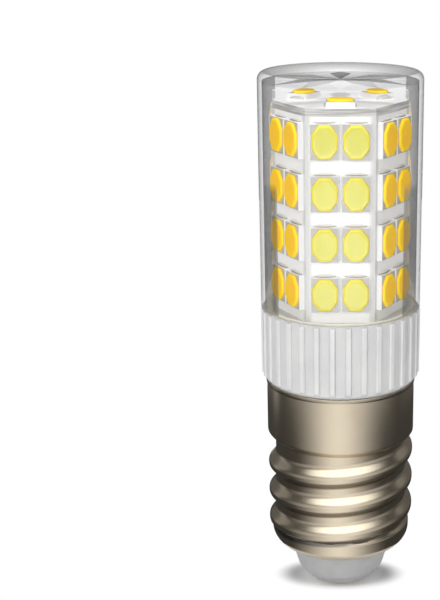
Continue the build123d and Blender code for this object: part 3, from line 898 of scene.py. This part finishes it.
def fillet(half, depth, rise, columns=17, rows=9):
    """Solder fillet: a quarter of an ellipsoid that stands on the board and leans on the package's end.

    Its marks run from 0 at the top of the slope to 1 where it ends on the board.
    """
    u = np.linspace(0, pi, columns)
    v = np.linspace(0, pi / 2, rows)
    x = np.cos(u)[:, None] * half * np.ones(rows)
    y = np.sin(u)[:, None] * depth * np.sin(v)[None, :]
    z = np.sin(u)[:, None] * rise * np.cos(v)[None, :]
    skin = np.stack([x, y, z], -1)[1:-1]
    count = len(skin)
    ends = np.array([[half, 0, 0], [-half, 0, 0], [0, 0, 0]])
    flat = np.concatenate([skin.reshape(-1, 3), ends])
    right, left, foot = count * rows, count * rows + 1, count * rows + 2
    j = np.arange(rows - 1)
    last = (count - 1) * rows
    i = np.arange(count - 1)
    corners = [
        (right, 0, foot), (left, foot, last), (right, foot, rows - 1), (left, last + rows - 1, foot),
    ]
    triangles = np.concatenate([
        np.stack([np.full_like(j, right), j, j + 1], -1),
        np.stack([np.full_like(j, left), last + j + 1, last + j], -1),
        np.stack([i * rows, (i + 1) * rows, np.full_like(i, foot)], -1),
        np.stack([(i + 1) * rows + rows - 1, i * rows + rows - 1, np.full_like(i, foot)], -1),
        corners,
    ])
    down = np.maximum(np.tile(v / v[-1], count), np.repeat(np.abs(np.cos(u[1:-1])) ** 3, rows))
    return flat, grid_quads(count, rows), triangles, np.concatenate([down, np.ones(3)])


def led_row(number, places, width, length, materials, nodes):
    """Bodies, phosphor plates and solder fillets of one board's packages.

    The levels are (inset, height, mark): a mark of 1 is at the foot, and 0 on the flat face.
    """
    phosphor, package, solder = materials
    height, top = PACKAGE_HEIGHT, PACKAGE_HEIGHT + PHOSPHOR_HEIGHT
    gel_levels = [
        (0.0, height, 1.0), (0.02, height + 0.07, 0.75), (0.05, height + 0.15, 0.55),
        (0.11, top - 0.03, 0.4), (0.19, top, 0.2), (0.45, top, 0.08), (0.8, top, 0.0),
    ]
    body_levels = [
        (0.0, 0.0, 1.0), (0.045, height - 0.03, 1.0), (0.075, height, 0.5), (0.13, height, 0.0),
    ]
    half, halfway = width / 2, length / 2
    gel = pillow(half - PHOSPHOR_MARGIN, halfway - PHOSPHOR_MARGIN, PHOSPHOR_CORNER, gel_levels)
    body = pillow(half, halfway, BODY_CORNER, body_levels)
    points, faces, marks = placed(gel, places)
    # Painted highlight: phosphors on the listed sides get the pale lit copy, the rest stay amber
    marks = {"rim": marks, "amber": np.full(len(marks), 0.0 if number in PAINTED_PALE_SIDES else 1.0)}
    make_piece(f"phosphor_gels_{number}", points, faces, phosphor, nodes[:1], 40.0, marks)
    points, faces, marks = placed(body, places)
    marks = {"rim": marks}
    make_piece(f"led_bodies_{number}", points, faces, package, nodes[1:], 30.0, marks)
    above = [(origin + up * halfway, across, out, up) for origin, across, up, out in places]
    below = [(origin - up * halfway, -across, out, -up) for origin, across, up, out in places]
    upper = placed(fillet(width * SOLDER_HALF_SHARE, SOLDER_REACH, SOLDER_RISE), above)
    lower = placed(fillet(width * LOWER_HALF_SHARE, LOWER_REACH, LOWER_RISE), below)
    points = np.concatenate([upper[0], lower[0]])
    faces = [np.concatenate([a, b + len(upper[0])]) for a, b in zip(upper[1], lower[1])]
    marks = {"foot": np.concatenate([upper[2], lower[2]])}
    make_piece(f"solder_fillets_{number}", points, faces, solder, sharp=40.0, marks=marks)


def leds():
    """LED packages on the six sides and on top."""
    materials = (phosphor_material(), package_material(), solder_material())
    for face in range(FACES):
        number = face + 1
        nodes = (f"side_phosphors_{number}", f"side_packages_{number}")
        led_row(number, side_places(face), PACKAGE_WIDTH, PACKAGE_LENGTH, materials, nodes)
    nodes = ("top_phosphors", "top_packages")
    led_row("top", top_places(), TOP_PACKAGE_WIDTH, TOP_PACKAGE_LENGTH, materials, nodes)


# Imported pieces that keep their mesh


def board_material():
    """White solder mask with faint clouding, and painted shade along the edges where the boards meet.

    The edges are where the angle about Z is near a multiple of a sixth of a turn.
    """
    made, wire = new_material("white_mask")
    grain = noise(wire, 6000.0, 2.0)
    place = object_place(wire)
    y = part(wire, place, "Y")
    sixths = y.math("ARCTAN2", y, part(wire, place, "X")) * (FACES / 2 / pi)
    from_edge = sixths.math("ABSOLUTE", sixths - sixths.math("ROUND", sixths))
    plain = clouded(wire, noise(wire, 350.0), (0.93, 0.93, 0.925), (0.96, 0.96, 0.96))
    # Painted shade: grey near the tower's corners
    colour = blend(wire, ramped(wire, from_edge, *CORNER_SHADE_ENDS), (0.66, 0.66, 0.655), plain)
    show_surface(wire, {
        "Base Color": colour, "Roughness": grain * 0.1 + 0.32, "Normal": bump(wire, grain, 0.15, 0.01),
    })
    return made


def top_board_material():
    """White mask on the flat, and pressed layers in streaks along the cut edge."""
    made, wire = new_material("top_board_layers")
    stretch = {0: object_place(wire), 1: (300.0, 300.0, 6500.0)}
    stretched = wire.node("VectorMath", {"operation": "MULTIPLY"}, stretch)
    streak = wire.node("TexNoise", inputs={"Vector": stretched, "Scale": 1.0, "Detail": 2.0})
    flat = ramped(wire, part(wire, wire.node("NewGeometry", output="Normal"), "Z"), 0.5, 0.9)
    edge = blend(wire, ramped(wire, streak, 0.35, 0.65), (0.38, 0.37, 0.36), (0.66, 0.65, 0.64))
    face = clouded(wire, noise(wire, 350.0), (0.9, 0.9, 0.89), (0.94, 0.94, 0.94))
    show_surface(wire, {"Base Color": blend(wire, flat, edge, face), "Roughness": streak * 0.1 + 0.35})
    return made


# Finishes inside: node, material, dark and light tone, roughness, noise scale, metal share and bump depth
INNER_FINISHES = (
    ("tower_core", "core_aluminium", (0.6, 0.61, 0.62), (0.7, 0.71, 0.72), (0.3, 0.42), 1200.0, 1.0),
    ("driver_board", "green_mask", (0.02, 0.13, 0.06), (0.03, 0.18, 0.08), (0.3, 0.4), 1600.0),
    ("bridge_rectifier", "black_mould",
     (0.012, 0.012, 0.014), (0.03, 0.03, 0.032), (0.45, 0.6), 3000.0, 0.0, 0.02),
    ("driver_chip", "chip_mould",
     (0.01, 0.01, 0.012), (0.025, 0.025, 0.028), (0.4, 0.55), 3500.0, 0.0, 0.02),
    ("smoothing_capacitor", "capacitor_sleeve",
     (0.03, 0.035, 0.06), (0.05, 0.055, 0.09), (0.25, 0.35), 1200.0),
    ("capacitor_legs", "tinned_legs", (0.55, 0.55, 0.54), (0.68, 0.68, 0.67), (0.25, 0.38), 2600.0, 1.0),
    ("chip_resistors", "resistor_glaze", (0.015, 0.015, 0.017), (0.05, 0.05, 0.052), (0.3, 0.45), 2400.0),
    ("fuse_resistor", "fuse_coating",
     (0.06, 0.14, 0.11), (0.09, 0.19, 0.15), (0.5, 0.6), 1800.0, 0.0, 0.02),
    ("live_lead", "tinned_lead", (0.52, 0.52, 0.5), (0.66, 0.66, 0.64), (0.25, 0.38), 2600.0, 1.0),
    ("neutral_lead", "white_sleeve", (0.72, 0.72, 0.7), (0.8, 0.8, 0.78), (0.35, 0.45), 1500.0),
    ("led_lead_positive", "red_sleeve", (0.35, 0.012, 0.01), (0.45, 0.02, 0.015), (0.35, 0.45), 1500.0),
    ("led_lead_negative", "black_sleeve",
     (0.01, 0.01, 0.01), (0.025, 0.025, 0.025), (0.35, 0.45), 1500.0),
)


def dress_packed_nodes():
    """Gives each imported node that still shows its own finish."""
    board = board_material()
    finishes = {f"side_board_{number + 1}": board for number in range(FACES)}
    finishes["top_board"] = top_board_material()
    finishes["cap_adhesive"] = bpy.data.materials["cream_cement"]
    for node, *finish in INNER_FINISHES:
        finishes[node] = mottled(*finish)
    for node, material in finishes.items():
        frame["nodes"][node].data.materials.clear()
        frame["nodes"][node].data.materials.append(material)


# Studio

CAMERA_BACK = 123.70
CAMERA_HEIGHT = 67.99
CAMERA_PITCH = 16.607
FOCAL_PIXELS = 1283.1
IMAGE_WIDTH, IMAGE_HEIGHT = 440, 600
AXIS_PIXEL = 340.5
SENSOR = 36.0
CLIP_START = 5.0

# Shadow on the floor: half its size, its middle, where it runs out to white, and the painted darker tone at
# its sides
SHADOW_ACROSS = 6.2
SHADOW_ALONG = 3.3
SHADOW_Y = 0.9
SHADOW_ENDS = (0.72, 1.18)
SHADOW_SIDES = (0.1, 0.8)
SHADOW_SIDE_TONE = 0.4
FLOOR_HALF = 3000.0
FLOOR_TONE = 0.8

# Light: the world's level for matt surfaces, and the cards
WORLD_DIFFUSE = 0.55
CARD_STEPS = 96
LID_HALF = 100.0
LID_BACK = 40.0
LID_Z = 290.0
GLOW_HALF = 110.0
GLOW_NEAR, GLOW_FAR = 80.0, 300.0
GLOW_Z = 0.6


def camera():
    """Camera at the photograph's place: it looks down, and its shift brings the bulb to the right."""
    data = bpy.data.cameras.new("camera")
    data.sensor_width = SENSOR
    data.lens = FOCAL_PIXELS * SENSOR / IMAGE_HEIGHT
    data.shift_x = (IMAGE_WIDTH / 2 - AXIS_PIXEL) / IMAGE_HEIGHT
    data.clip_start = CLIP_START * MM
    made = bpy.data.objects.new("camera", data)
    made.location = (0, -CAMERA_BACK * MM, CAMERA_HEIGHT * MM)
    made.rotation_euler = (radians(90 - CAMERA_PITCH), 0, 0)
    bpy.context.scene.collection.objects.link(made)
    bpy.context.scene.camera = made


def lamp(name, place, target, size, radiance):
    """Flat lamp of a given brightness, aimed at a point. Gloss sees the cards in its place."""
    data = bpy.data.lights.new(name, "AREA")
    data.shape = "RECTANGLE"
    data.size, data.size_y = size[0] * MM, size[1] * MM
    data.energy = radiance * pi * size[0] * size[1] * MM * MM
    made = bpy.data.objects.new(name, data)
    made.location = [value * MM for value in place]
    aim = np.array(target, float) - np.array(place, float)
    made.rotation_euler = Vector(aim).to_track_quat("-Z", "Y").to_euler()
    made.visible_glossy = False
    bpy.context.scene.collection.objects.link(made)


def stage_mesh(name, points, faces, material, levels=None):
    """Mesh that belongs to the studio, with an own brightness at each point where levels are given."""
    mesh = bpy.data.meshes.new(name)
    mesh.from_pydata((np.asarray(points) * MM).tolist(), [], np.asarray(faces).tolist())
    if levels is not None:
        mesh.attributes.new("level", "FLOAT", "POINT").data.foreach_set("value", np.float32(levels))
    mesh.materials.append(material)
    made = bpy.data.objects.new(name, mesh)
    bpy.context.scene.collection.objects.link(made)
    return made


def card_material(name, outside, limb, deep):
    """Glowing card: shares of its level for gloss outside the cover, at its limb and inside it.

    They are told apart by how many clear walls the ray crossed: none, one or two, or more.
    """
    made, wire = new_material(name)
    crossed = wire.node("LightPath", output="Transparent Depth")
    past_one = crossed.math("GREATER_THAN", crossed, 0.5)
    past_two = crossed.math("GREATER_THAN", crossed, 2.5)
    share = past_one * (limb - outside) + past_two * (deep - limb) + outside
    show(wire, wire.node("Emission", inputs={"Color": share * attribute(wire, "level"), "Strength": 1.0}))
    return made


def only_in_gloss(made):
    """Hides a card from all rays but those of gloss."""
    made.visible_camera = False
    made.visible_diffuse = False
    made.visible_transmission = False
    made.visible_volume_scatter = False
    made.visible_shadow = False


def arc_card(name, start, end, low, high, material, level):
    """Card on an arc about Z, by azimuths from the front, (radius, height) of both edges and a level."""
    azimuth = np.linspace(start, end, CARD_STEPS)
    turn = np.radians(azimuth)
    edges = [
        np.column_stack([radius * np.sin(turn), -radius * np.cos(turn), np.full(CARD_STEPS, z)])
        for radius, z in (low, high)
    ]
    levels = np.tile(level(azimuth), 2)
    only_in_gloss(stage_mesh(name, np.concatenate(edges), grid_quads(2, CARD_STEPS), material, levels))


def wall_card(name, side, start, end, radius, low, high, material, level):
    """Upright card on one side of the bulb, between two azimuths from the front and two heights."""
    arc_card(name, side * start, side * end, (radius, low), (radius, high), material, level)


def bell(width, middle=0.0, least=0.0, power=2):
    """Level that falls from 1 at the middle azimuth: exp(-(distance from the middle / width)^power)."""
    return lambda azimuth: np.maximum(np.exp(-(np.abs(azimuth - middle) / width) ** power), least)


def even(azimuth):
    """Level of 1 all along a card."""
    return np.ones(len(azimuth))


def rectangle(half, ends, z):
    """Corners of a level rectangle of half a width, between two places along Y."""
    start, end = ends
    return [(-half, start, z), (half, start, z), (half, end, z), (-half, end, z)]


def flat_card(name, half, ends, z, material):
    only_in_gloss(stage_mesh(name, rectangle(half, ends, z), [(0, 1, 2, 3)], material, np.ones(4)))


def cards():
    """Cards that only gloss sees.

    They fall off beside the cap, are grey at the cover's limb, and bright in front of the LEDs' faces.
    """
    every = card_material("every_card", 1.0, 1.0, 1.0)
    limb = card_material("limb_card", 0.12, 0.12, 0.02)
    rim = card_material("rim_card", 1.0, 0.15, 0.05)
    edge = card_material("edge_card", 0.3, 0.04, 0.04)
    haze = card_material("haze_card", 0.25, 0.22, 0.03)
    glow = card_material("glow_card", 1.0, 1.0, 2.8)
    crown = card_material("crown_card", 1.9, 1.0, 1.0)
    arc_card("floor_card", -179, 179, (8.6, 0.4), (82.0, 0.4), every, bell(40.0, -4.0, 0.045))
    for side in (-1, 1):
        wall_card("high_card", side, 0, 180, 100.0, 52.0, 110.0, every, bell(50.0, 0.0, 0.05))
        wall_card("crown_card", side, 0, 180, 100.0, 110.0, 290.0, crown, bell(80.0, -6.0, 0.03, 4))
        wall_card("side_card", side, 25, 104, 62.0, 0.5, 46.0, every, bell(60.0, 0.0, 0.05))
        wall_card("limb_card", side, 100, 158, 60.0, 0.5, 29.0, limb, even)
        wall_card("rim_card", side, 158, 179, 60.0, 0.5, 29.0, rim, even)
        wall_card("haze_card", side, 100, 180, 61.0, 28.0, 80.0, haze, bell(48.0, side * 100, 0.4))
    wall_card("edge_card", -1, 106, 121, 58.0, 0.5, 34.0, edge, even)
    flat_card("lid_card", LID_HALF, (-LID_HALF, LID_BACK), LID_Z, crown)
    flat_card("glow_card", GLOW_HALF, (-GLOW_NEAR, -GLOW_FAR), GLOW_Z, glow)


def floor():
    """Pale floor that keeps the bulb's shadow near it, darkened towards its sides as painted shadow, and
    runs out to even white.
    """
    made, wire = new_material("pale_floor")
    size = (1 / SHADOW_ACROSS / MM, 1 / SHADOW_ALONG / MM, 0.0)
    shift = (0.0, -SHADOW_Y / SHADOW_ALONG, 0.0)
    place = object_place(wire)
    scaled = wire.node("VectorMath", {"operation": "MULTIPLY_ADD"}, {0: place, 1: size, 2: shift})
    away = wire.node("VectorMath", {"operation": "LENGTH"}, {0: scaled}, output="Value")
    aside = part(wire, scaled, "X")
    # Painted shadow: the floor's colour darkens towards the sides of the shadow
    tone = ramped(wire, aside * aside, *SHADOW_SIDES, 1.0, SHADOW_SIDE_TONE)
    seen = wire.node("BsdfDiffuse", inputs={"Color": tone})
    white = wire.node("Emission", inputs={"Color": grey(1.0), "Strength": 1.0})
    plain = wire.node("BsdfDiffuse", inputs={"Color": grey(FLOOR_TONE)})
    shown = mixed(wire, ramped(wire, away, *SHADOW_ENDS), seen, white)
    show(wire, mixed(wire, wire.node("LightPath", output="Is Camera Ray"), plain, shown))
    stage_mesh("floor", rectangle(FLOOR_HALF, (-FLOOR_HALF, FLOOR_HALF), 0), [(0, 1, 2, 3)], made)


def world():
    """White surround for the camera, gloss and glass, and a plain level of light for the rest."""
    made = bpy.data.worlds.new("studio")
    made.use_nodes = True
    made.node_tree.nodes.clear()
    wire = Wire(made.node_tree)
    seen, gloss, glass = (
        wire.node("LightPath", output=f"Is {kind} Ray") for kind in ("Camera", "Glossy", "Transmission")
    )
    white = seen.math("MAXIMUM", seen, gloss.math("MAXIMUM", gloss, glass))
    strength = white * (1 - WORLD_DIFFUSE) + WORLD_DIFFUSE
    background = wire.node("Background", inputs={"Color": grey(1.0), "Strength": strength})
    wire.node("OutputWorld", inputs={"Surface": background})
    bpy.context.scene.world = made


def studio():
    camera()
    world()
    floor()
    cards()
    lamp("top_lamp", place=(0, 0, 320), target=(0, 0, 0), size=(36, 36), radiance=120.0)
    lamp("front_lamp", place=(-70, -300, 190), target=(0, 0, 30), size=(300, 200), radiance=3.9)
    bpy.context.scene.view_settings.view_transform = "Standard"


cover()
collar()
cap()
insulator()
contact()
cement()
leds()
dress_packed_nodes()
studio()
